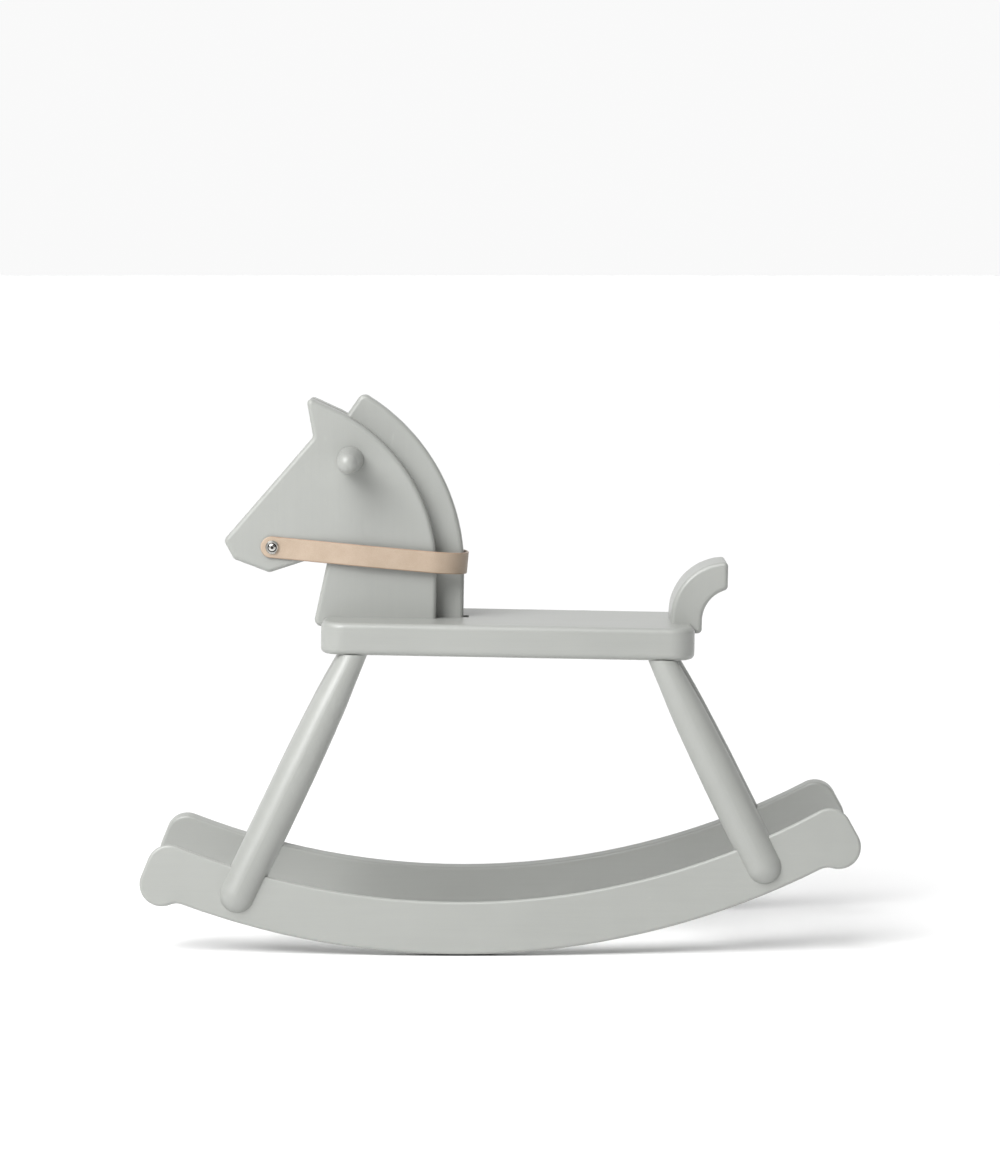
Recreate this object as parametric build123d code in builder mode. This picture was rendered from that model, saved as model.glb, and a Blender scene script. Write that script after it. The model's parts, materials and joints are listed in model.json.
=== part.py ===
"""A toddler's rocking horse: painted boards and turned legs on two bent runners, with a leather rein.

+Z is up, the horse faces -X, its left side is -Y, and the origin is on the floor under the middle
of its box. The horse stands as it rests, which leaves its seat one degree down at the tail. All
sizes are in millimetres and degrees.
"""

from build123d import *
from math import acos, cos, degrees, radians, sin, sqrt
import os

# --- driving dimensions -------------------------------------------------------------------------

# Side frames: a runner and two legs in one plane, leaning in at the top.
FRAME_SPLAY = 9.0
FRAME_HALF_WIDTH = 132.0
FRAME_ROLL = 3.2

RUNNER_RADIUS = 807.3
RUNNER_WIDTH = 52.3
RUNNER_THICKNESS = 16.0
RUNNER_ROUNDING = 3.0
HEEL_ANGLE = 25.25
HEEL_RADIUS = 22.0
HEEL_REACH = 796.0
HEEL_BLEND = 18.0

# Each leg's place along the runner, and how far its top leans to the tail.
LEG_ANGLE = {"front": -19.78, "rear": 19.7}
LEG_LEAN = {"front": 25.5, "rear": -26.05}
LEG_RADIUS = 19.0
LEG_TOP_RADIUS = 12.6
# Radius of a leg at distances below the seat, where it thins to its top radius.
LEG_TAPER = ((25.0, 14.6), (50.0, 16.4), (92.0, 18.0), (160.0, LEG_RADIUS))
LEG_TOP_SLOPE = 0.09
TENON_RADIUS = 10.0
TENON_DEPTH = 22.0

SEAT_TILT = 1.0
SEAT_TOP = 327.8
SEAT_FRONT = -180.6
SEAT_REAR = 195.9
SEAT_WIDTH = 198.6
SEAT_THICKNESS = 32.5
SEAT_CORNER = 24.0
SEAT_ROUNDING = 6.0

NECK_THICKNESS = 22.0
CHEEK_THICKNESS = 24.0
HEAD_ROUNDING = 4.5
HEAD_ARC_X = -245.5
HEAD_ARC_Y = 46.8
CHEEK_ARC_RADIUS = 179.7
MANE_ARC_RADIUS = 207.1
LIP_DEPTH = 10.0
# The lips' inner corners follow the seat's rounded edge.
LIP_ROUNDING = 5.8
FOOT_DEPTH = 20.0
FOOT_FRONT = -160.0
MORTISE_SPARE = 5.5

HANDLE_X = -155.3
HANDLE_Y = 160.3
HANDLE_LENGTH = 78.0
HANDLE_BASE_RADIUS = 13.5
HANDLE_END_RADIUS = 10.4
HANDLE_CHAMFER = 1.0
HANDLE_TENON_RADIUS = 9.0

# The tail's outer and inner curves have centres of their own: it is thickest at its foot.
TAIL_END = 230.0
TAIL_OUTER_Y = 6.0
TAIL_OUTER_RADIUS = 57.3
TAIL_INNER_X = 237.7
TAIL_INNER_Y = 3.0
TAIL_INNER_RADIUS = 33.2
TAIL_WIDTH = 80.0
TAIL_ROUNDING = 4.5
TAIL_CORNER = 4.5

REIN_X = -233.0
REIN_Y = 70.1
REIN_SLOPE = 4.2
REIN_WIDTH = 22.0
REIN_THICKNESS = 2.6
REIN_GAP = 0.4
REIN_END = 12.0
# The strap lies flat under its screws, bows out beside the cheeks and bends round the neck.
REIN_FLAT = 24.0
REIN_BOW_START = 95.0
REIN_BOW = 6.0
REIN_REACH = 196.2
REIN_SIDE_BEND = 400.0
REIN_REAR_BEND = 37.0

REIN_SCREW_RADIUS = 2.0
REIN_SCREW_DEPTH = 18.0
REIN_HOLE_RADIUS = 2.08
WASHER_RADIUS = 7.0
WASHER_HEIGHT = 2.6

SCREW_RADIUS = 2.25
SCREW_HEAD_RADIUS = 4.5
SCREW_HEAD_SUNK = 0.3
SCREW_TIP = 7.0
DOWEL_RADIUS = 4.0
DOWEL_LENGTH = 33.0
DOWEL_RECESS = 0.8
BORE_CLEARANCE = 0.05
# Room left past the end of a tenon, a dowel or a screw in a blind bore.
BORE_SPARE = 0.5

# --- frames ---------------------------------------------------------------------------------------

HEAD_HALF = NECK_THICKNESS / 2 + CHEEK_THICKNESS

# Two heights or lengths closer than this are the same.
NEAR = 0.1

# The runners reach equally far to both ends, so their arc centre lies ahead of the middle.
ARC_X = -HEEL_REACH * cos(radians(HEEL_ANGLE)) * sin(radians(FRAME_ROLL))

# Height of a runner's centre plane over its lowest, rounded edge.
FRAME_BASE = (RUNNER_THICKNESS / 2 - RUNNER_ROUNDING) * sin(radians(FRAME_SPLAY)) + RUNNER_ROUNDING * (
    1 - cos(radians(FRAME_SPLAY))
)

# Seat frame: x along the seat towards the tail, z square to it, from the top of the seat.
along_seat = Vector(cos(radians(SEAT_TILT)), 0, -sin(radians(SEAT_TILT)))
off_seat = Vector(sin(radians(SEAT_TILT)), 0, cos(radians(SEAT_TILT)))
seat_plane = Plane(origin=(0, 0, SEAT_TOP), x_dir=along_seat, z_dir=off_seat)
underside = seat_plane.offset(-SEAT_THICKNESS)


def side_plane(distance):
    """Upright plane along the seat, the given distance out to the horse's left: x to the tail, y up."""
    origin = Vector(0, -distance, SEAT_TOP)
    return Plane(origin=origin, x_dir=along_seat, z_dir=(0, -1, 0))


# Left side frame: x to the tail, y up the slope of the runner, z square out of it.
frame_out = Vector(0, -cos(radians(FRAME_SPLAY)), sin(radians(FRAME_SPLAY)))
frame_plane = Plane(origin=(ARC_X, -FRAME_HALF_WIDTH, FRAME_BASE), x_dir=(1, 0, 0), z_dir=frame_out)


def on_runner(radius, angle):
    """Point of the side frame at a radius from the runner's arc centre, at an angle from its lowest point."""
    return Vector(radius * sin(radians(angle)), RUNNER_RADIUS - radius * cos(radians(angle)))


def arc_about(centre, start, end):
    """Circular arc from start to end round centre, the short way."""
    radius = (start - centre).length
    middle = centre + ((start - centre) + (end - centre)).normalized() * radius
    return ThreePointArc(start, middle, end)


def mirrored(part, label):
    """The same piece on the horse's other side."""
    with BuildPart() as other:
        mirror(part, about=Plane.XZ)
    other.part.label = label
    return other.part


def circles(plane, places, radius):
    """Sketch of equal circles at the given places of a plane."""
    with BuildSketch(plane) as sketch:
        with Locations(*places):
            Circle(radius)
    return sketch.sketch


def round_corners(sketch, corners):
    """Round the corners of a sketch that lie nearest to the given points."""
    for x, y, radius in corners:
        fillet(sketch.vertices().sort_by_distance(Vector(x, y))[0], radius=radius)


os.makedirs("parts", exist_ok=True)

# --- runners ---------------------------------------------------------------------------------------


def runner_end(side):
    """Corner centres and tangent points of one runner end; side is -1 at the front, 1 at the rear."""
    angle = FRAME_ROLL + side * HEEL_ANGLE
    inner = RUNNER_RADIUS - RUNNER_WIDTH
    blend_centre_radius = RUNNER_RADIUS + HEEL_BLEND
    reach = HEEL_RADIUS + HEEL_BLEND
    top = on_runner(inner + HEEL_RADIUS, angle)
    heel = on_runner(HEEL_REACH, angle)
    cosine = (HEEL_REACH**2 + blend_centre_radius**2 - reach**2) / (2 * HEEL_REACH * blend_centre_radius)
    blend_angle = angle - side * degrees(acos(cosine))
    blend = on_runner(blend_centre_radius, blend_angle)
    outward = Vector(cos(radians(angle)), sin(radians(angle))) * side
    return {
        "top": top,
        "heel": heel,
        "blend": blend,
        "on_top_arc": on_runner(inner, angle),
        "face_top": top + outward * HEEL_RADIUS,
        "face_bottom": heel + outward * HEEL_RADIUS,
        "heel_to_blend": heel + (blend - heel).normalized() * HEEL_RADIUS,
        "on_bottom_arc": on_runner(RUNNER_RADIUS, blend_angle),
    }


with BuildPart() as runner_blank:
    with BuildSketch(frame_plane):
        with BuildLine():
            front = runner_end(-1)
            rear = runner_end(1)
            inner_middle = on_runner(RUNNER_RADIUS - RUNNER_WIDTH, FRAME_ROLL)
            outer_middle = on_runner(RUNNER_RADIUS, FRAME_ROLL)
            ThreePointArc(front["on_top_arc"], inner_middle, rear["on_top_arc"])
            ThreePointArc(front["on_bottom_arc"], outer_middle, rear["on_bottom_arc"])
            for corners in (front, rear):
                arc_about(corners["top"], corners["on_top_arc"], corners["face_top"])
                Line(corners["face_top"], corners["face_bottom"])
                arc_about(corners["heel"], corners["face_bottom"], corners["heel_to_blend"])
                arc_about(corners["blend"], corners["heel_to_blend"], corners["on_bottom_arc"])
        make_face()
    extrude(amount=RUNNER_THICKNESS / 2, both=True)

# --- legs ------------------------------------------------------------------------------------------


def leg_start(end):
    """Centre of a leg's domed lower end, in the side frame; end is "front" or "rear"."""
    return on_runner(RUNNER_RADIUS - RUNNER_WIDTH / 2, FRAME_ROLL + LEG_ANGLE[end])


def leg_plane(end):
    """Plane through a leg's axis: x up the leg, y square out of the side frame."""
    origin = frame_plane.from_local_coords(leg_start(end))
    lean = radians(LEG_LEAN[end])
    upward = frame_plane.x_dir * sin(lean) + frame_plane.y_dir * cos(lean)
    return Plane(origin=origin, x_dir=upward, z_dir=upward.cross(frame_plane.z_dir))


def leg_length(end):
    """Distance up a leg's axis from the centre of its dome to the underside of the seat."""
    plane = leg_plane(end)
    return (underside.origin - plane.origin).dot(off_seat) / plane.x_dir.dot(off_seat)


def dowel_bore(end):
    """Mouth of the bore for the dowel that locks a leg to its runner, driven from the inside."""
    start = leg_start(end)
    return circles(frame_plane.offset(-LEG_RADIUS), [(start.X, start.Y)], DOWEL_RADIUS + BORE_CLEARANCE)


def make_leg(end):
    """One left leg: a turned cigar with a slot for the runner and a round tenon for the seat."""
    plane = leg_plane(end)
    length = leg_length(end)
    # Turned past the seat's underside, then cut flush with it.
    top = length + TENON_RADIUS
    top_radius = LEG_TOP_RADIUS - LEG_TOP_SLOPE * TENON_RADIUS / 2
    taper = [(length - below, radius) for below, radius in LEG_TAPER]
    with BuildPart() as leg:
        with BuildSketch(plane):
            with BuildLine():
                Polyline((-LEG_RADIUS, 0), (top, 0), (top, top_radius))
                Spline((top, top_radius), *taper, tangents=[(-1, LEG_TOP_SLOPE), (-1, 0)])
                Line(taper[-1], (0, LEG_RADIUS))
                arc_about(Vector(0, 0), Vector(0, LEG_RADIUS), Vector(-LEG_RADIUS, 0))
            make_face()
        revolve(axis=Axis(plane.origin, plane.x_dir), revolution_arc=360)
        split(bisect_by=underside, keep=Keep.BOTTOM)
        foot = plane.origin + plane.x_dir * (length - TENON_RADIUS)
        with BuildSketch(Plane(origin=foot, z_dir=plane.x_dir)):
            Circle(TENON_RADIUS)
        extrude(amount=TENON_DEPTH + TENON_RADIUS)
        add(runner_blank.part, mode=Mode.SUBTRACT)
        extrude(dowel_bore(end), amount=DOWEL_LENGTH, mode=Mode.SUBTRACT)
    return leg.part


for end in LEG_ANGLE:
    leg = make_leg(end)
    leg.label = f"leg_{end}_left"
    export_step(leg, f"parts/leg_{end}_left.step")
    export_step(mirrored(leg, f"leg_{end}_right"), f"parts/leg_{end}_right.step")

with BuildPart() as runner_left:
    add(runner_blank.part)
    faces = runner_left.faces().filter_by(Axis(frame_plane.origin, frame_plane.z_dir))
    fillet(faces.edges(), radius=RUNNER_ROUNDING)
    for end in LEG_ANGLE:
        extrude(dowel_bore(end), amount=DOWEL_LENGTH, mode=Mode.SUBTRACT)
runner_left.part.label = "runner_left"
export_step(runner_left.part, "parts/runner_left.step")
export_step(mirrored(runner_left.part, "runner_right"), "parts/runner_right.step")

# Each dowel is blind on the outside and sunk a little on the inside.
with BuildPart() as runner_dowels:
    places = [(leg_start(end).X, leg_start(end).Y) for end in LEG_ANGLE]
    extrude(
        circles(frame_plane.offset(DOWEL_RECESS - LEG_RADIUS), places, DOWEL_RADIUS),
        amount=DOWEL_LENGTH - 2 * DOWEL_RECESS,
    )
    mirror(about=Plane.XZ)
runner_dowels.part.label = "runner_dowels"
export_step(runner_dowels.part, "parts/runner_dowels.step")

# --- seat ------------------------------------------------------------------------------------------

NECK_REAR = HEAD_ARC_X + MANE_ARC_RADIUS
NECK_SCREWS = ((-135.0, 0.0), (-65.0, 0.0))
NECK_SCREW_LENGTH = 40.0
TAIL_SCREWS = ((183.0, -22.0), (183.0, 22.0))
TAIL_SCREW_LENGTH = 50.0

with BuildPart() as seat_board:
    with BuildSketch(seat_plane):
        with Locations(((SEAT_FRONT + SEAT_REAR) / 2, 0)):
            RectangleRounded(SEAT_REAR - SEAT_FRONT, SEAT_WIDTH, SEAT_CORNER)
    extrude(amount=-SEAT_THICKNESS)
    broad_faces = seat_board.faces().filter_by(Axis(seat_plane.origin, off_seat))
    fillet(broad_faces.edges(), radius=SEAT_ROUNDING)
    # Mortise for the foot of the neck board, a little longer than the foot at its rear.
    with BuildSketch(seat_plane):
        length = NECK_REAR + MORTISE_SPARE - FOOT_FRONT
        with Locations((FOOT_FRONT + length / 2, 0)):
            Rectangle(length, NECK_THICKNESS)
    extrude(amount=-FOOT_DEPTH, mode=Mode.SUBTRACT)
    # Blind round mortises for the four leg tenons.
    for end in LEG_ANGLE:
        plane = leg_plane(end)
        start = plane.origin + plane.x_dir * (leg_length(end) - TENON_RADIUS)
        for across in (-1, 1):
            axis = Vector(plane.x_dir.X, -across * plane.x_dir.Y, plane.x_dir.Z)
            mouth = Vector(start.X, -across * start.Y, start.Z)
            with BuildSketch(Plane(origin=mouth, z_dir=axis)):
                Circle(TENON_RADIUS + BORE_CLEARANCE)
            extrude(amount=TENON_DEPTH + TENON_RADIUS + BORE_SPARE, mode=Mode.SUBTRACT)
    # Countersunk screw holes from below.
    with Locations(Plane(origin=underside.origin, x_dir=along_seat, z_dir=-off_seat)):
        with Locations(*NECK_SCREWS, *TAIL_SCREWS):
            CounterSinkHole(
                radius=SCREW_RADIUS + BORE_CLEARANCE,
                counter_sink_radius=SCREW_HEAD_RADIUS + BORE_CLEARANCE,
                depth=SEAT_THICKNESS,
                counter_sink_angle=90,
            )
seat_board.part.label = "seat_board"
export_step(seat_board.part, "parts/seat_board.step")

# --- wood screws under the seat ---------------------------------------------------------------------

# The recess for the driver: its mouth, its floor and its depth.
DRIVE_MOUTH = 2.4
DRIVE_FLOOR = 1.4
DRIVE_DEPTH = 1.2


def wood_screws(places, length):
    """Countersunk screws driven up through the seat at the given places of its underside."""
    heads = underside.offset(SCREW_HEAD_SUNK)
    head_radius = SCREW_HEAD_RADIUS - SCREW_HEAD_SUNK
    with BuildPart() as screws:
        for x, y in places:
            foot = heads.from_local_coords(Vector(x, y))
            with BuildSketch(Plane(origin=foot, x_dir=along_seat, z_dir=along_seat.cross(off_seat))):
                with BuildLine():
                    Polyline(
                        (0, DRIVE_DEPTH),
                        (DRIVE_FLOOR, DRIVE_DEPTH),
                        (DRIVE_MOUTH, 0),
                        (head_radius, 0),
                        (SCREW_RADIUS, head_radius - SCREW_RADIUS),
                        (SCREW_RADIUS, length - SCREW_TIP),
                        (0, length),
                        close=True,
                    )
                make_face()
            revolve(axis=Axis(foot, off_seat), revolution_arc=360)
    return screws.part


neck_screws = wood_screws(NECK_SCREWS, NECK_SCREW_LENGTH)
neck_screws.label = "neck_screws"
export_step(neck_screws, "parts/neck_screws.step")

tail_screws = wood_screws(TAIL_SCREWS, TAIL_SCREW_LENGTH)
tail_screws.label = "tail_screws"
export_step(tail_screws, "parts/tail_screws.step")

# --- head: neck board between two cheeks --------------------------------------------------------------

# Outline of the face, in the side plane's x and y.
FOREHEAD_TOP = (-193.6, 182.5)
NOSE = (-283.0, 76.0)
LIP = (-272.3, 57.0)
CHIN = (-236.0, 43.9)
THROAT = (-175.6, 64.6)
CHEST = (-190.8, -LIP_DEPTH)
FACE = (FOREHEAD_TOP, NOSE, LIP, CHIN, THROAT, CHEST, (SEAT_FRONT, -LIP_DEPTH), (SEAT_FRONT, 0))
FRONT_NOTCH = (SEAT_FRONT, 0, LIP_ROUNDING)
FACE_CORNERS = ((*NOSE, 6), (*LIP, 6), (*CHIN, 6), (*THROAT, 5), (*CHEST, 7))

EAR_TIP = (-201.3, 223.4)
EAR_ARC_END = 64.0
CREST_ANGLE = 61.0
CREST_FOOT = (-171.0, 189.0)
HEAD_DOWELS = ((-215.0, 100.0), (-110.0, 120.0), (-130.0, 40.0))
HEAD_DOWEL_DEPTH = 12.0

head_centre = Vector(HEAD_ARC_X, HEAD_ARC_Y)
CHEEK_REAR = HEAD_ARC_X + CHEEK_ARC_RADIUS


def on_head_arc(radius, angle):
    """Point of the head at a radius and angle round the centre that ear, cheek and mane share."""
    return head_centre + Vector(radius * cos(radians(angle)), radius * sin(radians(angle)))


with BuildPart() as neck_board:
    with BuildSketch(side_plane(0)) as outline:
        with BuildLine():
            crest = on_head_arc(MANE_ARC_RADIUS, CREST_ANGLE)
            arc_about(head_centre, Vector(NECK_REAR, HEAD_ARC_Y), crest)
            Polyline(
                crest,
                CREST_FOOT,
                *FACE,
                (FOOT_FRONT, 0),
                (FOOT_FRONT, -FOOT_DEPTH),
                (NECK_REAR, -FOOT_DEPTH),
                (NECK_REAR, HEAD_ARC_Y),
            )
        make_face()
        round_corners(outline, (*FACE_CORNERS, FRONT_NOTCH, (crest.X, crest.Y, 8), (*CREST_FOOT, 10)))
    extrude(amount=NECK_THICKNESS / 2, both=True)
    # Ease what stands clear of the cheeks: the crest, the mane and the back of the neck.
    for face in neck_board.faces().filter_by(Axis.Y):
        eased = []
        for edge in face.edges():
            middle = side_plane(0).to_local_coords(edge @ 0.5)
            clear = (middle - head_centre).length > CHEEK_ARC_RADIUS
            if clear and middle.X > CREST_FOOT[0] and middle.Y > 0:
                eased.append(edge)
        fillet(eased, radius=HEAD_ROUNDING)
    dowel_bores = circles(side_plane(0), HEAD_DOWELS, DOWEL_RADIUS + BORE_CLEARANCE)
    extrude(dowel_bores, amount=NECK_THICKNESS, both=True, mode=Mode.SUBTRACT)
    handle_bore = circles(side_plane(0), [(HANDLE_X, HANDLE_Y)], HANDLE_TENON_RADIUS + BORE_CLEARANCE)
    extrude(handle_bore, amount=NECK_THICKNESS, both=True, mode=Mode.SUBTRACT)
    screw_bores = circles(underside, NECK_SCREWS, SCREW_RADIUS + BORE_CLEARANCE)
    extrude(screw_bores, amount=NECK_SCREW_LENGTH + BORE_SPARE, mode=Mode.SUBTRACT)
neck_board.part.label = "neck_board"
export_step(neck_board.part, "parts/neck_board.step")

with BuildPart() as cheek_left:
    with BuildSketch(side_plane(NECK_THICKNESS / 2)) as outline:
        with BuildLine():
            ear_back = on_head_arc(CHEEK_ARC_RADIUS, EAR_ARC_END)
            arc_about(head_centre, Vector(CHEEK_REAR, HEAD_ARC_Y), ear_back)
            Polyline(ear_back, EAR_TIP, *FACE, (CHEEK_REAR, 0), (CHEEK_REAR, HEAD_ARC_Y))
        make_face()
        round_corners(outline, (*FACE_CORNERS, FRONT_NOTCH, (*EAR_TIP, 4), (*FOREHEAD_TOP, 6)))
    extrude(amount=CHEEK_THICKNESS)
    # Ease the outer face all round, but for where it stands on the seat and laps its front.
    eased = []
    for edge in cheek_left.faces().sort_by(Axis.Y)[0].edges():
        middle = side_plane(0).to_local_coords(edge @ 0.5)
        if middle.X < SEAT_FRONT - NEAR or middle.Y > NEAR:
            eased.append(edge)
    fillet(eased, radius=HEAD_ROUNDING)
    inner_face = side_plane(NECK_THICKNESS / 2)
    dowel_bores = circles(inner_face, HEAD_DOWELS, DOWEL_RADIUS + BORE_CLEARANCE)
    extrude(dowel_bores, amount=HEAD_DOWEL_DEPTH, mode=Mode.SUBTRACT)
    handle_bore = circles(inner_face, [(HANDLE_X, HANDLE_Y)], HANDLE_TENON_RADIUS + BORE_CLEARANCE)
    extrude(handle_bore, amount=CHEEK_THICKNESS, mode=Mode.SUBTRACT)
    rein_bore = circles(side_plane(HEAD_HALF), [(REIN_X, REIN_Y)], REIN_SCREW_RADIUS + BORE_CLEARANCE)
    extrude(rein_bore, amount=-REIN_SCREW_DEPTH, mode=Mode.SUBTRACT)
cheek_left.part.label = "cheek_left"
export_step(cheek_left.part, "parts/cheek_left.step")
export_step(mirrored(cheek_left.part, "cheek_right"), "parts/cheek_right.step")

with BuildPart() as head_dowels:
    with BuildSketch(side_plane(0)):
        with Locations(*HEAD_DOWELS):
            Circle(DOWEL_RADIUS)
    extrude(amount=NECK_THICKNESS / 2 + HEAD_DOWEL_DEPTH - BORE_SPARE, both=True)
head_dowels.part.label = "head_dowels"
export_step(head_dowels.part, "parts/head_dowels.step")

# --- handles ------------------------------------------------------------------------------------------


def sideways_profile(x, y, distance):
    """Plane for turning a left-hand piece about a sideways axis: x outwards along that axis."""
    origin = side_plane(distance).from_local_coords(Vector(x, y))
    return Plane(origin=origin, x_dir=(0, -1, 0), z_dir=off_seat)


with BuildPart() as handle_left:
    plane = sideways_profile(HANDLE_X, HANDLE_Y, HEAD_HALF)
    tenon = HEAD_HALF - BORE_SPARE
    dome_x = HANDLE_LENGTH - HANDLE_END_RADIUS
    with BuildSketch(plane):
        with BuildLine():
            Polyline(
                (HANDLE_LENGTH, 0),
                (-tenon, 0),
                (-tenon, HANDLE_TENON_RADIUS),
                (0, HANDLE_TENON_RADIUS),
                (0, HANDLE_BASE_RADIUS - HANDLE_CHAMFER),
                (HANDLE_CHAMFER, HANDLE_BASE_RADIUS),
                (dome_x, HANDLE_END_RADIUS),
            )
            arc_about(Vector(dome_x, 0), Vector(dome_x, HANDLE_END_RADIUS), Vector(HANDLE_LENGTH, 0))
        make_face()
    revolve(axis=Axis(plane.origin, plane.x_dir), revolution_arc=360)
handle_left.part.label = "handle_left"
export_step(handle_left.part, "parts/handle_left.step")
export_step(mirrored(handle_left.part, "handle_right"), "parts/handle_right.step")

# --- tail ---------------------------------------------------------------------------------------------

with BuildPart() as tail_block:
    with BuildSketch(side_plane(0)) as outline:
        with BuildLine():
            outer_centre = Vector(TAIL_END, TAIL_OUTER_Y)
            outer_foot = outer_centre - Vector(TAIL_OUTER_RADIUS, 0)
            outer_top = outer_centre + Vector(0, TAIL_OUTER_RADIUS)
            inner_centre = Vector(TAIL_INNER_X, TAIL_INNER_Y)
            inner_foot = inner_centre - Vector(TAIL_INNER_RADIUS, 0)
            inner_rise = sqrt(TAIL_INNER_RADIUS**2 - (TAIL_INNER_X - TAIL_END) ** 2)
            inner_top = Vector(TAIL_END, TAIL_INNER_Y + inner_rise)
            lip = Vector(inner_foot.X, -LIP_DEPTH)
            arc_about(outer_centre, outer_foot, outer_top)
            Line(outer_top, inner_top)
            arc_about(inner_centre, inner_top, inner_foot)
            Polyline(inner_foot, lip, (SEAT_REAR, -LIP_DEPTH), (SEAT_REAR, 0), (outer_foot.X, 0), outer_foot)
        make_face()
        round_corners(outline, [(corner.X, corner.Y, TAIL_CORNER) for corner in (outer_top, inner_top, lip)])
        round_corners(outline, [(SEAT_REAR, 0, LIP_ROUNDING)])
    extrude(amount=TAIL_WIDTH / 2, both=True)
    # Ease both sides, but for where the tail stands on the seat and laps its rear.
    for face in tail_block.faces().filter_by(Axis.Y):
        eased = []
        for edge in face.edges():
            middle = side_plane(0).to_local_coords(edge @ 0.5)
            if middle.X > SEAT_REAR + NEAR or middle.Y > NEAR:
                eased.append(edge)
        fillet(eased, radius=TAIL_ROUNDING)
    screw_bores = circles(underside, TAIL_SCREWS, SCREW_RADIUS + BORE_CLEARANCE)
    extrude(screw_bores, amount=TAIL_SCREW_LENGTH + BORE_SPARE, mode=Mode.SUBTRACT)
tail_block.part.label = "tail_block"
export_step(tail_block.part, "parts/tail_block.step")

# --- rein ---------------------------------------------------------------------------------------------

rein_origin = side_plane(0).from_local_coords(Vector(REIN_X, REIN_Y))
slope = radians(REIN_SLOPE)
along_rein = along_seat * cos(slope) - off_seat * sin(slope)
off_rein = along_seat * sin(slope) + off_seat * cos(slope)
rein_inner = HEAD_HALF + REIN_GAP
rein_outer = rein_inner + REIN_THICKNESS

# Inside line of the strap's left half, from its free end to the middle of the rear.
rein_half = [
    (-REIN_END, rein_inner),
    (REIN_FLAT, rein_inner),
    (REIN_BOW_START, rein_inner + REIN_BOW),
    (REIN_REACH, rein_inner + REIN_BOW),
]
rein_loop = [(x, -y) for x, y in rein_half] + rein_half[::-1]
rein_bends = [REIN_SIDE_BEND, REIN_SIDE_BEND, REIN_REAR_BEND]

with BuildPart() as rein_strap:
    with BuildSketch(Plane(origin=rein_origin, x_dir=along_rein, z_dir=off_rein)):
        with BuildLine():
            inside = FilletPolyline(*rein_loop, radius=rein_bends + rein_bends[::-1])
            Line(inside @ 1, inside @ 0)
        hollow = make_face()
        offset(amount=REIN_THICKNESS)
        add(hollow, mode=Mode.SUBTRACT)
    extrude(amount=REIN_WIDTH / 2, both=True)
    # Both ends are cut round, about the hole for the screw.
    rein_side = Plane(origin=rein_origin, x_dir=along_rein, z_dir=(0, -1, 0))
    past_bend = REIN_REACH + 2 * REIN_THICKNESS
    round_end = REIN_WIDTH / 2 - NEAR
    with BuildSketch(rein_side) as end_shape:
        with Locations(((past_bend - REIN_END) / 2, 0)):
            Rectangle(past_bend + REIN_END, REIN_WIDTH)
        round_corners(end_shape, [(-REIN_END, across * REIN_WIDTH / 2, round_end) for across in (-1, 1)])
    extrude(amount=2 * rein_outer, both=True, mode=Mode.INTERSECT)
    with BuildSketch(rein_side):
        Circle(REIN_HOLE_RADIUS)
    extrude(amount=2 * rein_outer, both=True, mode=Mode.SUBTRACT)
rein_strap.part.label = "rein_strap"
export_step(rein_strap.part, "parts/rein_strap.step")

# --- rein screws and their cup washers ------------------------------------------------------------------

WASHER_GAP = 0.3
WASHER_MOUTH = 4.3
WASHER_BORE = 2.1
WASHER_RIM = 0.6
WASHER_CONE = 1.6
HEAD_GAP = 0.1
HEAD_HEIGHT = 1.0
REIN_SCREW_TIP = 4.0

washer_plane = sideways_profile(REIN_X, REIN_Y, rein_outer + WASHER_GAP)
washer_axis = Axis(washer_plane.origin, washer_plane.x_dir)

with BuildPart() as rein_washer_left:
    with BuildSketch(washer_plane):
        with BuildLine():
            Polyline(
                (0, WASHER_BORE),
                (0, WASHER_RADIUS),
                (WASHER_RIM, WASHER_RADIUS),
                (WASHER_HEIGHT, WASHER_RADIUS - WASHER_CONE),
                (WASHER_HEIGHT, WASHER_MOUTH),
                (WASHER_HEIGHT + WASHER_BORE - WASHER_MOUTH, WASHER_BORE),
                close=True,
            )
        make_face()
    revolve(axis=washer_axis, revolution_arc=360)
rein_washer_left.part.label = "rein_washer_left"
export_step(rein_washer_left.part, "parts/rein_washer_left.step")
export_step(mirrored(rein_washer_left.part, "rein_washer_right"), "parts/rein_washer_right.step")

RECESS_RADIUS = 1.4
RECESS_DEPTH = 1.4

with BuildPart() as rein_screw_left:
    head_radius = WASHER_MOUTH - HEAD_GAP
    head_foot = WASHER_HEIGHT - (head_radius - REIN_SCREW_RADIUS)
    head_top = WASHER_HEIGHT + HEAD_HEIGHT
    tip = HEAD_HALF - REIN_SCREW_DEPTH + BORE_SPARE - (rein_outer + WASHER_GAP)
    with BuildSketch(washer_plane):
        with BuildLine():
            Polyline(
                (WASHER_HEIGHT, head_radius),
                (head_foot, REIN_SCREW_RADIUS),
                (tip + REIN_SCREW_TIP, REIN_SCREW_RADIUS),
                (tip, 0),
                (head_top - RECESS_DEPTH, 0),
                (head_top - RECESS_DEPTH, RECESS_RADIUS),
                (head_top, RECESS_RADIUS),
            )
            ThreePointArc(
                (head_top, RECESS_RADIUS),
                (WASHER_HEIGHT + 0.7 * HEAD_HEIGHT, 0.7 * head_radius),
                (WASHER_HEIGHT, head_radius),
            )
        make_face()
    revolve(axis=washer_axis, revolution_arc=360)
rein_screw_left.part.label = "rein_screw_left"
export_step(rein_screw_left.part, "parts/rein_screw_left.step")
export_step(mirrored(rein_screw_left.part, "rein_screw_right"), "parts/rein_screw_right.step")
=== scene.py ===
"""Looks for the rocking horse: satin paint over wood, a leather rein and plated screws."""

import json
from bisect import bisect
from math import atan2, cos, hypot, pi, radians, sin, sqrt, tan

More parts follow.
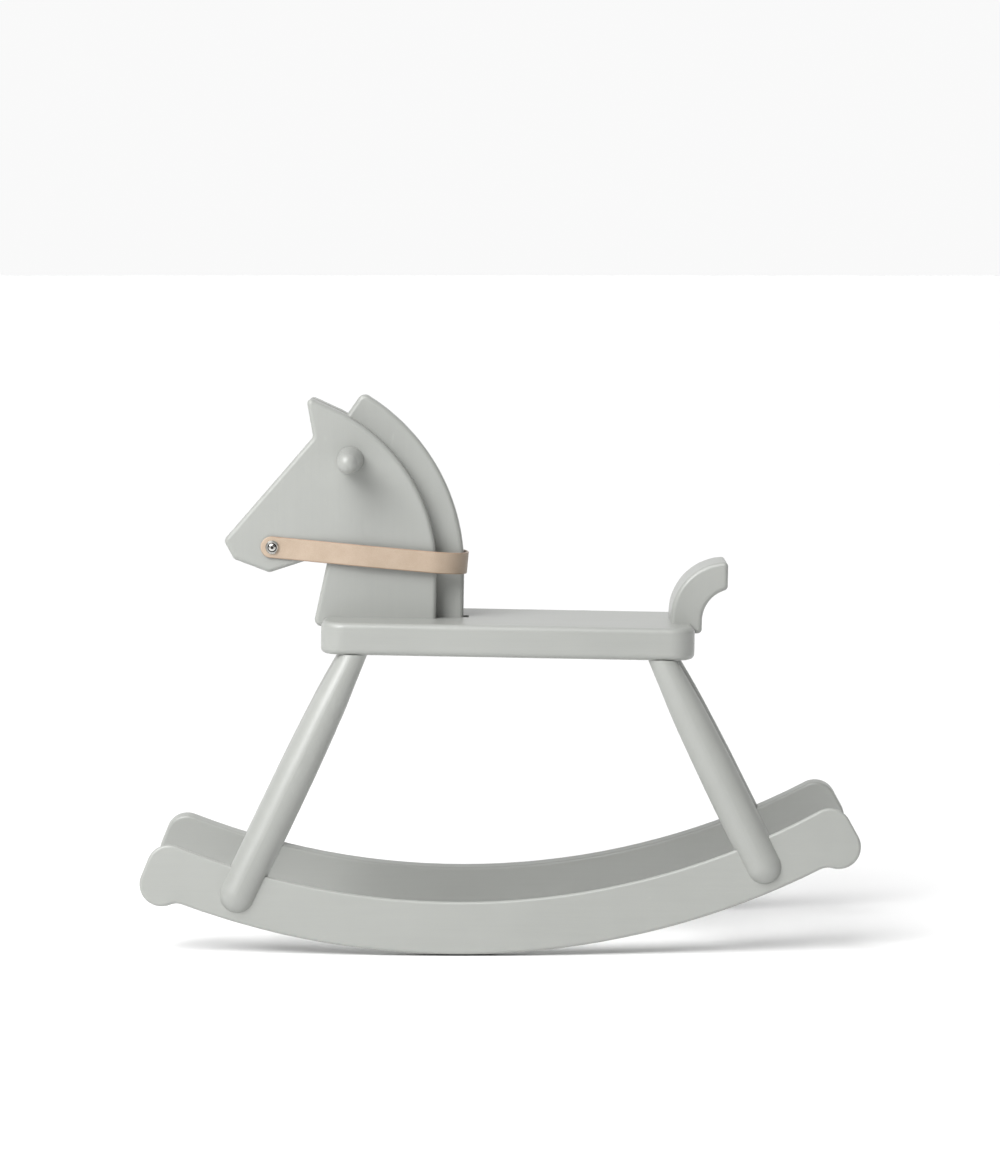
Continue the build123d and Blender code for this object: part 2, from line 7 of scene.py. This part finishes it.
import bmesh
import bpy
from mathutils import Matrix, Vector


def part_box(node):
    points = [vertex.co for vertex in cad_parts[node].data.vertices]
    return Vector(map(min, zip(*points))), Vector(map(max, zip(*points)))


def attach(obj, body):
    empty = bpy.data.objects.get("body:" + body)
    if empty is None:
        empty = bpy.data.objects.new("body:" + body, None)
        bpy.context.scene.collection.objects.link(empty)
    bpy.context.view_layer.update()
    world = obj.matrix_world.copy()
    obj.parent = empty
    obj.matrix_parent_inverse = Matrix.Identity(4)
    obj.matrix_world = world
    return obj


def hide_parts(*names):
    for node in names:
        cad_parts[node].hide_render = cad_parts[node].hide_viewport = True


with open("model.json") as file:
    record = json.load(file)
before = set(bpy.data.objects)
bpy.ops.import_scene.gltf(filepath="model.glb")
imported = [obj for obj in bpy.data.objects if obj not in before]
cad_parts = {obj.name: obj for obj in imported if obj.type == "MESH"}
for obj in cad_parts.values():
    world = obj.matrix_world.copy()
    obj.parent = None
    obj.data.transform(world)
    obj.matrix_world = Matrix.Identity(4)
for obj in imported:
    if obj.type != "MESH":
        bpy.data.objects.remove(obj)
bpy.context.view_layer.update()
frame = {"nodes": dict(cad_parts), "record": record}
scene = bpy.context.scene

# --- camera, stage and light ------------------------------------------------------------------------


CAMERA_PLACE = (0.0265, -4.4225, 0.7269)
CAMERA_DROP = 4.629
CAMERA_TURN = 0.355
CAMERA_LENS = 135.2
CAMERA_SENSOR = 36.0
CAMERA_FAR = 200.0


def add_camera():
    """A long lens a little above the horse, square to its left side."""
    data = bpy.data.cameras.new("camera")
    data.sensor_fit = "VERTICAL"
    data.sensor_height = CAMERA_SENSOR
    data.lens = CAMERA_LENS
    data.clip_end = CAMERA_FAR
    camera = bpy.data.objects.new("camera", data)
    camera.location = CAMERA_PLACE
    camera.rotation_euler = (radians(90 - CAMERA_DROP), 0, radians(CAMERA_TURN))
    scene.collection.objects.link(camera)
    scene.camera = camera


class Graph:
    """Small helper that adds shader nodes to a tree and links them as they are named."""

    def __init__(self, tree):
        self.tree = tree

    def add(self, kind, settings=None, **inputs):
        """A node of that kind; settings are its properties, and inputs are values or sockets."""
        made = self.tree.nodes.new("ShaderNode" + kind)
        for name, value in (settings or {}).items():
            setattr(made, name, value)
        for name, value in inputs.items():
            key = int(name[1:]) if name[0] == "i" and name[1:].isdigit() else name.replace("_", " ")
            self.put(made.inputs[key], value)
        return made

    def put(self, socket, value):
        if isinstance(value, bpy.types.NodeSocket):
            self.tree.links.new(value, socket)
        else:
            socket.default_value = value

    def math(self, operation, a, b=0.0, c=0.0):
        return self.add("Math", {"operation": operation}, i0=a, i1=b, i2=c).outputs[0]

    def about(self, value, gain, base):
        """The base, moved by gain times how far value is from one half."""
        return self.math("MULTIPLY_ADD", self.math("SUBTRACT", value, 0.5), gain, base)

    def ramp(self, value, low, high, to_low=0.0, to_high=1.0, smooth=True):
        """Map value from low..high to to_low..to_high, held at both ends."""
        kind = "SMOOTHSTEP" if smooth else "LINEAR"
        made = self.add("MapRange", {"interpolation_type": kind, "clamp": True}, Value=value)
        for name, number in zip(("From Min", "From Max", "To Min", "To Max"), (low, high, to_low, to_high)):
            made.inputs[name].default_value = number
        return made.outputs[0]

    def mix(self, factor, a, b):
        """Mix of two colours."""
        made = self.add("Mix", {"data_type": "RGBA", "clamp_factor": True})
        self.put(made.inputs[0], factor)
        self.put(made.inputs[6], a)
        self.put(made.inputs[7], b)
        return made.outputs[2]

    def place(self, vector, scale=(1, 1, 1), turn=(0, 0, 0), shift=(0, 0, 0)):
        """The vector turned, scaled and shifted."""
        made = self.add("Mapping", None, Vector=vector, Scale=scale, Rotation=turn, Location=shift)
        return made.outputs[0]

    def noise(self, vector, scale, detail=2.0, roughness=0.5, distortion=0.0):
        made = self.add("TexNoise", None, Vector=vector, Scale=scale, Detail=detail, Roughness=roughness)
        made.inputs["Distortion"].default_value = distortion
        return made.outputs["Fac"]

    def bump(self, height, depth, normal=None):
        """Bump of that depth in metres under a height of 0 to 1."""
        made = self.add("Bump", None, Height=height, Distance=depth, Strength=1.0)
        if normal is not None:
            self.put(made.inputs["Normal"], normal)
        return made.outputs[0]


FLOOR_RADIUS = 60.0
FLOOR_WHITE = (0.90, 0.90, 0.90, 1)


def add_stage():
    """A wide white floor that reaches the horizon."""
    bpy.ops.mesh.primitive_circle_add(vertices=96, radius=FLOOR_RADIUS, fill_type="NGON")
    floor = bpy.context.object
    floor.name = "floor"
    material = bpy.data.materials.new("floor")
    material.use_nodes = True
    shader = material.node_tree.nodes["Principled BSDF"]
    shader.inputs["Base Color"].default_value = FLOOR_WHITE
    shader.inputs["Roughness"].default_value = 0.9
    shader.inputs["Specular IOR Level"].default_value = 0.2
    floor.data.materials.append(material)


HORIZON_LEVEL = 0.95
BEHIND_LEVEL = 0.85
DARK_LEVEL = 0.04
OVERHEAD_LEVEL = 0.50
LEFT_LEVEL = 0.22


def add_world():
    """A dark studio with a white horizon: pale overhead and behind the horse, black to its right."""
    world = bpy.data.worlds.new("studio")
    world.use_nodes = True
    graph = Graph(world.node_tree)
    background = world.node_tree.nodes["Background"]
    direction = graph.add("TexCoord").outputs["Generated"]
    split = graph.add("SeparateXYZ", None, Vector=direction)
    horizon = graph.ramp(split.outputs["Z"], 0.06, 0.12, HORIZON_LEVEL, 0.0)
    behind = graph.ramp(split.outputs["Y"], 0.20, 0.80, 0.0, BEHIND_LEVEL)
    overhead = graph.ramp(split.outputs["Z"], 0.35, 0.9, DARK_LEVEL, OVERHEAD_LEVEL)
    left = graph.ramp(split.outputs["X"], -0.9, 0.1, LEFT_LEVEL, 0.0)
    level = graph.math("MAXIMUM", horizon, graph.math("ADD", graph.math("MAXIMUM", behind, overhead), left))
    grey = graph.add("CombineColor", None, Red=level, Green=level, Blue=level)
    graph.put(background.inputs["Color"], grey.outputs[0])
    background.inputs["Strength"].default_value = 1.0
    scene.world = world
    scene.view_settings.view_transform = "Standard"
    scene.view_settings.exposure = 0.0


def add_sun(name, towards, strength, angle):
    """A distant soft light that comes from the direction towards."""
    data = bpy.data.lights.new(name, "SUN")
    data.energy = strength
    data.angle = radians(angle)
    light = bpy.data.objects.new(name, data)
    light.rotation_euler = Vector(towards).to_track_quat("Z", "Y").to_euler()
    scene.collection.objects.link(light)


def add_softbox(name, place, target, size, power):
    """A square lamp close to the horse, turned to face the target."""
    data = bpy.data.lights.new(name, "AREA")
    data.shape = "SQUARE"
    data.size = size
    data.energy = power
    light = bpy.data.objects.new(name, data)
    light.location = place
    light.rotation_euler = (Vector(place) - Vector(target)).to_track_quat("Z", "Y").to_euler()
    light.visible_camera = False
    scene.collection.objects.link(light)


add_camera()
add_stage()
add_world()
add_sun("key", towards=(-0.42, -0.55, 0.84), strength=2.75, angle=50.0)
add_softbox("softbox", place=(-0.85, -1.35, 1.25), target=(-0.1, 0.0, 0.42), size=0.8, power=18.0)

# --- materials --------------------------------------------------------------------------------------


def new_material(name):
    """An empty node material: its graph, its shader and its object coordinates."""
    material = bpy.data.materials.new(name)
    material.use_nodes = True
    graph = Graph(material.node_tree)
    shader = material.node_tree.nodes["Principled BSDF"]
    coordinates = graph.add("TexCoord").outputs["Object"]
    return material, graph, shader, coordinates


PAINT_LIGHT = (0.318, 0.325, 0.308, 1)
PAINT_DARK = (0.294, 0.301, 0.285, 1)
PAINT_RUB = (0.37, 0.375, 0.36, 1)
PAINT_ROUGHNESS = 0.40
GRAIN_DEPTH = 0.00010
PORE_DEPTH = 0.00004
PEEL_DEPTH = 0.00005

# Turns that bring a piece's grain to x, for pieces that stand upright, lie across or lean.
UPRIGHT = (0, radians(90), 0)
ACROSS = (0, 0, radians(90))
LEG_LEAN = radians(64)
LEAN = {"front": (0, -LEG_LEAN, 0), "rear": (0, LEG_LEAN, 0)}


def paint(name, grain, seed):
    """Satin paint over wood; grain is the turn that brings the wood's grain to x."""
    material, graph, shader, coordinates = new_material(name)
    here = graph.place(coordinates, turn=grain, shift=(seed * 1.37, seed * 0.71, seed * 2.13))
    cloud = graph.noise(here, 7.0, 3.0, 0.55)
    along = graph.place(here, scale=(9.0, 260.0, 260.0))
    fibre = graph.noise(along, 1.0, 5.0, 0.62, 0.3)
    pores = graph.noise(graph.place(here, scale=(55.0, 1500.0, 1500.0)), 1.0, 2.0, 0.5)
    peel = graph.noise(here, 950.0, 2.0, 0.45)
    speckle = graph.noise(here, 2600.0, 1.0, 0.5)
    tone = graph.about(fibre, 0.35, cloud)
    tone = graph.about(speckle, 0.35, tone)
    colour = graph.mix(graph.ramp(tone, 0.25, 0.75, smooth=False), PAINT_DARK, PAINT_LIGHT)
    rub = graph.ramp(graph.noise(graph.place(here, scale=(30.0, 90.0, 90.0)), 1.0, 4.0, 0.7), 0.66, 0.78)
    colour = graph.mix(graph.math("MULTIPLY", rub, 0.35), colour, PAINT_RUB)
    graph.put(shader.inputs["Base Color"], colour)
    rough = graph.about(cloud, 0.16, PAINT_ROUGHNESS)
    rough = graph.about(fibre, 0.10, rough)
    graph.put(shader.inputs["Roughness"], graph.math("MULTIPLY_ADD", rub, 0.08, rough))
    shader.inputs["Specular IOR Level"].default_value = 0.5
    shader.inputs["Coat Weight"].default_value = 0.22
    shader.inputs["Coat Roughness"].default_value = 0.24
    wood = graph.bump(fibre, GRAIN_DEPTH)
    wood = graph.bump(pores, PORE_DEPTH, wood)
    skin = graph.bump(peel, PEEL_DEPTH, wood)
    graph.put(shader.inputs["Normal"], skin)
    graph.put(shader.inputs["Coat Normal"], skin)
    return material


BEECH_DARK = (0.36, 0.21, 0.11, 1)
BEECH_LIGHT = (0.58, 0.40, 0.23, 1)
BEECH_FLECK = (0.25, 0.13, 0.06, 1)


def beech(name):
    """Bare beech dowels that lie across the horse: growth rings, and flecks along them."""
    material, graph, shader, coordinates = new_material(name)
    here = graph.place(coordinates, turn=ACROSS)
    rings = graph.add("TexWave", {"wave_type": "RINGS", "rings_direction": "X"}, Vector=here, Scale=55.0)
    rings.inputs["Distortion"].default_value = 3.0
    rings.inputs["Detail"].default_value = 3.0
    fleck = graph.noise(graph.place(here, scale=(220.0, 2600.0, 2600.0)), 1.0, 3.0, 0.6)
    tone = graph.math("MULTIPLY_ADD", fleck, 0.5, graph.math("MULTIPLY", rings.outputs["Fac"], 0.5))
    colour = graph.mix(tone, BEECH_DARK, BEECH_LIGHT)
    colour = graph.mix(graph.ramp(fleck, 0.62, 0.75), colour, BEECH_FLECK)
    graph.put(shader.inputs["Base Color"], colour)
    graph.put(shader.inputs["Roughness"], graph.ramp(fleck, 0.0, 1.0, 0.48, 0.68, False))
    graph.put(shader.inputs["Normal"], graph.bump(tone, 0.0001))
    return material


SEAM_RADIUS = 0.0042
RECESS_RADIUS = 0.0014
# Near-black painted shade for the screw's recess and the seam between head and washer.
NICKEL_PAINTED_SHADE = (0.05, 0.046, 0.042, 1)
NICKEL_DARK = (0.46, 0.45, 0.43, 1)
NICKEL_LIGHT = (0.64, 0.63, 0.60, 1)


def nickel(name, centre):
    """Nickel plate with turning marks about the screw's axis, with painted shade: near-black colour in its
    recess and in the seam between head and washer.
    """
    material, graph, shader, coordinates = new_material(name)
    here = graph.place(coordinates, shift=[-number for number in centre])
    split = graph.add("SeparateXYZ", None, Vector=here)
    radius = graph.add("VectorMath", {"operation": "LENGTH"})
    flat = graph.add("CombineXYZ", None, X=split.outputs["X"], Z=split.outputs["Z"])
    graph.put(radius.inputs[0], flat.outputs[0])
    wobble = graph.noise(here, 900.0, 2.0)
    turns = graph.math("MULTIPLY_ADD", radius.outputs["Value"], 30000.0, graph.math("MULTIPLY", wobble, 4.0))
    marks = graph.math("SINE", turns)
    smudge = graph.noise(here, 260.0, 4.0, 0.6)
    plate = graph.mix(smudge, NICKEL_DARK, NICKEL_LIGHT)
    # Painted shade: the seam ring and the recess are mixed to near-black where shadow falls in the hollows.
    from_seam = graph.math("ABSOLUTE", graph.math("SUBTRACT", radius.outputs["Value"], SEAM_RADIUS))
    seam = graph.ramp(from_seam, 0.0003, 0.0009, 1.0, 0.0)
    recess = graph.ramp(radius.outputs["Value"], RECESS_RADIUS, 1.3 * RECESS_RADIUS, 1.0, 0.0)
    plate = graph.mix(graph.math("MAXIMUM", seam, recess), plate, NICKEL_PAINTED_SHADE)
    graph.put(shader.inputs["Base Color"], plate)
    shader.inputs["Metallic"].default_value = 1.0
    graph.put(shader.inputs["Roughness"], graph.ramp(smudge, 0.2, 0.8, 0.10, 0.24))
    graph.put(shader.inputs["Normal"], graph.bump(marks, 0.000002))
    return material


ZINC_BLUE = (0.50, 0.51, 0.53, 1)
ZINC_YELLOW = (0.68, 0.66, 0.58, 1)


def zinc(name):
    """Zinc-plated steel with a spangle and fine scratches."""
    material, graph, shader, coordinates = new_material(name)
    spangle = graph.add("TexVoronoi", None, Vector=coordinates, Scale=1400.0)
    scratch = graph.noise(graph.place(coordinates, scale=(300.0, 6000.0, 1200.0)), 1.0, 3.0, 0.6)
    tone = graph.add("SeparateColor", None, Color=spangle.outputs["Color"]).outputs[0]
    graph.put(shader.inputs["Base Color"], graph.mix(tone, ZINC_BLUE, ZINC_YELLOW))
    shader.inputs["Metallic"].default_value = 1.0
    graph.put(shader.inputs["Roughness"], graph.ramp(scratch, 0.2, 0.8, 0.28, 0.48))
    graph.put(shader.inputs["Normal"], graph.bump(scratch, 0.00002))
    return material


LEATHER_PALE = (0.430, 0.342, 0.262, 1)
LEATHER_WARM = (0.380, 0.298, 0.222, 1)
LEATHER_EDGE = (0.28, 0.175, 0.115, 1)
LEATHER_FLESH = (0.42, 0.32, 0.245, 1)


def leather(name):
    """Undyed leather, pored, with burnished edges; the UV map gives length and width in metres."""
    material, graph, shader, _ = new_material(name)
    flat = graph.add("UVMap", {"uv_map": "strap"}).outputs[0]
    split = graph.add("SeparateXYZ", None, Vector=flat)
    mottle = graph.noise(flat, 45.0, 4.0, 0.6)
    fine = graph.noise(flat, 900.0, 4.0, 0.65)
    cells = graph.add("TexVoronoi", {"feature": "DISTANCE_TO_EDGE"}, Vector=flat, Scale=1500.0)
    cell = graph.ramp(cells.outputs["Distance"], 0.0, 0.35)
    pores = graph.add("TexVoronoi", None, Vector=flat, Scale=620.0)
    pore = graph.ramp(pores.outputs["Distance"], 0.05, 0.22)
    tone = graph.about(fine, 0.7, mottle)
    colour = graph.mix(graph.ramp(tone, 0.25, 0.75), LEATHER_WARM, LEATHER_PALE)
    colour = graph.mix(graph.ramp(pore, 0.0, 1.0, 0.30, 0.0), colour, LEATHER_EDGE)
    colour = graph.mix(graph.ramp(cell, 0.0, 1.0, 0.12, 0.0), colour, LEATHER_EDGE)
    side = graph.math("ABSOLUTE", split.outputs["Y"])
    edge = graph.ramp(graph.math("MULTIPLY_ADD", fine, 0.0012, side), 0.0098, 0.0118)
    colour = graph.mix(graph.math("MULTIPLY", edge, 0.75), colour, LEATHER_EDGE)
    graph.put(shader.inputs["Base Color"], colour)
    rough = graph.ramp(tone, 0.2, 0.8, 0.46, 0.60, False)
    graph.put(shader.inputs["Roughness"], graph.math("MULTIPLY_ADD", edge, -0.14, rough))
    shader.inputs["Sheen Weight"].default_value = 0.08
    shader.inputs["Sheen Roughness"].default_value = 0.5
    shader.inputs["Specular IOR Level"].default_value = 0.42
    relief = graph.bump(cell, 0.00003)
    relief = graph.bump(pore, 0.00008, relief)
    relief = graph.bump(mottle, 0.0006, relief)
    relief = graph.bump(fine, 0.00006, relief)
    graph.put(shader.inputs["Normal"], relief)
    return material


def flesh(name):
    """The strap's brushed flesh side."""
    material, graph, shader, _ = new_material(name)
    flat = graph.add("UVMap", {"uv_map": "strap"}).outputs[0]
    nap = graph.noise(graph.place(flat, scale=(500.0, 1500.0, 1.0)), 1.0, 5.0, 0.7, 0.6)
    mottle = graph.noise(flat, 60.0, 3.0, 0.6)
    tone = graph.math("MULTIPLY_ADD", nap, 0.7, graph.math("MULTIPLY", mottle, 0.3))
    graph.put(shader.inputs["Base Color"], graph.mix(tone, LEATHER_WARM, LEATHER_FLESH))
    shader.inputs["Roughness"].default_value = 0.85
    shader.inputs["Sheen Weight"].default_value = 0.3
    shader.inputs["Sheen Roughness"].default_value = 0.6
    graph.put(shader.inputs["Normal"], graph.bump(nap, 0.0003))
    return material


# --- finishes on the CAD pieces ---------------------------------------------------------------------


def finish(name, material):
    """Give a CAD node one material."""
    node = frame["nodes"][name]
    node.data.materials.clear()
    node.data.materials.append(material)


grains = {
    "seat_board": (0, 0, 0),
    "neck_board": UPRIGHT,
    "cheek_left": UPRIGHT,
    "cheek_right": UPRIGHT,
    "handle_left": ACROSS,
    "handle_right": ACROSS,
    "tail_block": UPRIGHT,
    "leg_front_left": LEAN["front"],
    "leg_front_right": LEAN["front"],
    "leg_rear_left": LEAN["rear"],
    "leg_rear_right": LEAN["rear"],
    "runner_left": (0, 0, 0),
    "runner_right": (0, 0, 0),
}
for seed, (name, grain) in enumerate(grains.items()):
    finish(name, paint("paint_" + name, grain, seed + 1))


def middle(name):
    low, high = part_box(name)
    return [(a + b) / 2 for a, b in zip(low, high)]


for name in ("head_dowels", "runner_dowels"):
    finish(name, beech("beech_" + name))
for name in ("neck_screws", "tail_screws"):
    finish(name, zinc("zinc_" + name))
for side in ("left", "right"):
    for piece in ("rein_screw", "rein_washer"):
        name = piece + "_" + side
        finish(name, nickel("nickel_" + name, middle(name)))

# --- rein -------------------------------------------------------------------------------------------

joint = frame["record"]["behaviour"]["joints"][0]

REIN_WIDTH = 0.022
REIN_THICKNESS = 0.0026
REIN_END = 0.012
REIN_HOLE = 0.00208
REIN_SLOPE = radians(5.2)
# Inside of the strap's left half, seen from above, from its free end to the middle of the rear.
REIN_INSIDE = ((-REIN_END, -0.0354), (0.024, -0.0354), (0.095, -0.0414), (0.1962, -0.0414), (0.1962, 0.0))
REIN_BENDS = (0.400, 0.400, 0.037)
BEND_STEPS = 24
EDGE_RADIUS = 0.0009
half_width = REIN_WIDTH / 2
half_thickness = REIN_THICKNESS / 2
rein_origin = Vector(joint["pos_m"])


def left_of(heading):
    return Vector((-heading.y, heading.x))


def rounded_line(points, radii):
    """Points and headings along a line whose inner corners are rounded."""
    points = [Vector(point) for point in points]
    line = [(points[0], (points[1] - points[0]).normalized())]
    for before, corner, after, radius in zip(points, points[1:], points[2:], radii):
        start = (corner - before).normalized()
        end = (after - corner).normalized()
        turn = atan2(start.cross(end), start.dot(end))
        bend = radius if turn > 0 else -radius
        arc_start = corner - start * radius * tan(abs(turn) / 2)
        for k in range(BEND_STEPS + 1):
            part = turn * k / BEND_STEPS
            heading = start * cos(part) + left_of(start) * sin(part)
            line.append((arc_start + (left_of(start) - left_of(heading)) * bend, heading))
    line.append((points[-1], line[-1][1]))
    return line


def middle_line():
    """Rows of (distance from the screw, place, outward direction) along the strap's mid line."""
    rows = []
    for point, heading in rounded_line(REIN_INSIDE, REIN_BENDS):
        out = -left_of(heading)
        place = point + out * half_thickness
        distance = rows[-1][0] + (place - rows[-1][1]).length if rows else -REIN_END
        rows.append((distance, place, out))
    return rows


rein_rows = middle_line()
row_distances = [row[0] for row in rein_rows]
rein_length = 2 * row_distances[-1]


def on_path(distance):
    """Place and outward direction on the strap's mid line, at a distance from the left screw."""
    if distance > rein_length / 2:
        place, out = on_path(rein_length - distance)
        return Vector((place.x, -place.y)), Vector((out.x, -out.y))
    k = min(max(bisect(row_distances, distance), 1), len(rein_rows) - 1)
    (start, place_a, out_a), (end, place_b, out_b) = rein_rows[k - 1:k + 1]
    share = (distance - start) / (end - start)
    return place_a.lerp(place_b, share), out_a.lerp(out_b, share).normalized()


def bent(along, across, height):
    """A point of the flat strap, taken round the neck and laid at the rein's slope."""
    place, out = on_path(along)
    x, y = place + out * height
    rise = across * cos(REIN_SLOPE) - x * sin(REIN_SLOPE)
    return rein_origin + Vector((x * cos(REIN_SLOPE) + across * sin(REIN_SLOPE), y, rise))


def from_edge(along, across):
    """How far inside the flat strap's outline a point lies."""
    end = min(along + REIN_END, rein_length + REIN_END - along)
    inside = half_width - abs(across)
    if end >= half_width:
        return inside
    return half_width - hypot(half_width - end, across)


HALF_LINES = 8
SIDE_STEPS = 6
TIP_STEPS = 20
BODY_STEPS = 150
RING_SHARES = (0.0, 0.12, 0.3, 0.5, 0.7, 0.86, 0.95, 1.0)
# Lines across the strap's width, closer together towards both edges.
ACROSS_STEPS = [half_width * sin(pi / 2 * k / HALF_LINES) for k in range(-HALF_LINES, HALF_LINES + 1)]


def end_rings():
    """Rings from the hole outwards over one end; each ring is a closed list of (along, across)."""
    rim = [(half_width, across) for across in ACROSS_STEPS]
    rim += [(half_width * (1 - k / SIDE_STEPS), half_width) for k in range(1, SIDE_STEPS)]
    rim += [(0.0, half_width)]
    tip = REIN_END - half_width
    turns = [pi * k / TIP_STEPS for k in range(TIP_STEPS + 1)]
    rim += [(-tip - half_width * sin(turn), half_width * cos(turn)) for turn in turns]
    rim += [(0.0, -half_width)]
    rim += [(half_width * k / SIDE_STEPS, -half_width) for k in range(1, SIDE_STEPS)]
    rings = []
    for share in RING_SHARES:
        ring = []
        for x, y in rim:
            reach = hypot(x, y)
            r = REIN_HOLE + (reach - REIN_HOLE) * share
            ring.append((x / reach * r, y / reach * r))
        rings.append(ring)
    return rings


def strap_mesh():
    """The whole strap as a closed mesh: two faces with eased edges, and the walls of edge and holes."""
    mesh = bmesh.new()
    uv = mesh.loops.layers.uv.new("strap")
    made = {}

    def vertex(along, across, side):
        key = (round(along, 6), round(across, 6), side)
        if key not in made:
            depth = max(from_edge(along, across), 0.0)
            ease = EDGE_RADIUS - sqrt(max(EDGE_RADIUS**2 - max(EDGE_RADIUS - depth, 0.0) ** 2, 0.0))
            height = side * (half_thickness - ease)
            made[key] = (mesh.verts.new(bent(along, across, height)), (along, across))
        return made[key]

    def face(corners, material):
        unique = []
        for corner in corners:
            if corner not in unique:
                unique.append(corner)
        if len(unique) < 3:
            return
        made_face = mesh.faces.new([corner[0] for corner in unique])
        made_face.material_index = material
        made_face.smooth = True
        for loop, corner in zip(made_face.loops, unique):
            loop[uv].uv = corner[1]

    def cover(rows, closed):
        """Faces on both sides of the strap between rows of equal length."""
        count = len(rows[0])
        for a, b in zip(rows, rows[1:]):
            for k in range(count if closed else count - 1):
                n = (k + 1) % count
                for side, order in ((1, 1), (-1, -1)):
                    quad = [vertex(*point, side) for point in (a[k], b[k], b[n], a[n])]
                    face(quad[::order], 0 if side > 0 else 1)

    def wall(line, material):
        """Faces through the strap's thickness along a line."""
        for a, b in zip(line, line[1:]):
            face([vertex(*a, 1), vertex(*b, 1), vertex(*b, -1), vertex(*a, -1)], material)

    first = end_rings()
    last = [[(rein_length - along, across) for along, across in ring] for ring in first]
    for rings in (first, last):
        cover(rings, True)
        wall(rings[0] + rings[0][:1], 2)
    body_length = rein_length - 2 * half_width
    stations = [half_width + body_length * k / BODY_STEPS for k in range(BODY_STEPS + 1)]
    body = [[(along, across) for across in ACROSS_STEPS] for along in stations]
    cover(body, False)
    for edge in (0, -1):
        wall([row[edge] for row in body], 2)
    for rings in (first, last):
        wall(rings[-1][len(ACROSS_STEPS) - 1:] + rings[-1][:1], 2)
    bmesh.ops.recalc_face_normals(mesh, faces=mesh.faces)
    data = bpy.data.meshes.new("rein_leather")
    mesh.to_mesh(data)
    mesh.free()
    return data


strap = bpy.data.objects.new("rein_leather", strap_mesh())
scene.collection.objects.link(strap)
strap.data.materials.append(leather("leather_grain"))
strap.data.materials.append(flesh("leather_flesh"))
strap.data.materials.append(leather("leather_edge"))
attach(strap, "reins")
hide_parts("rein_strap")
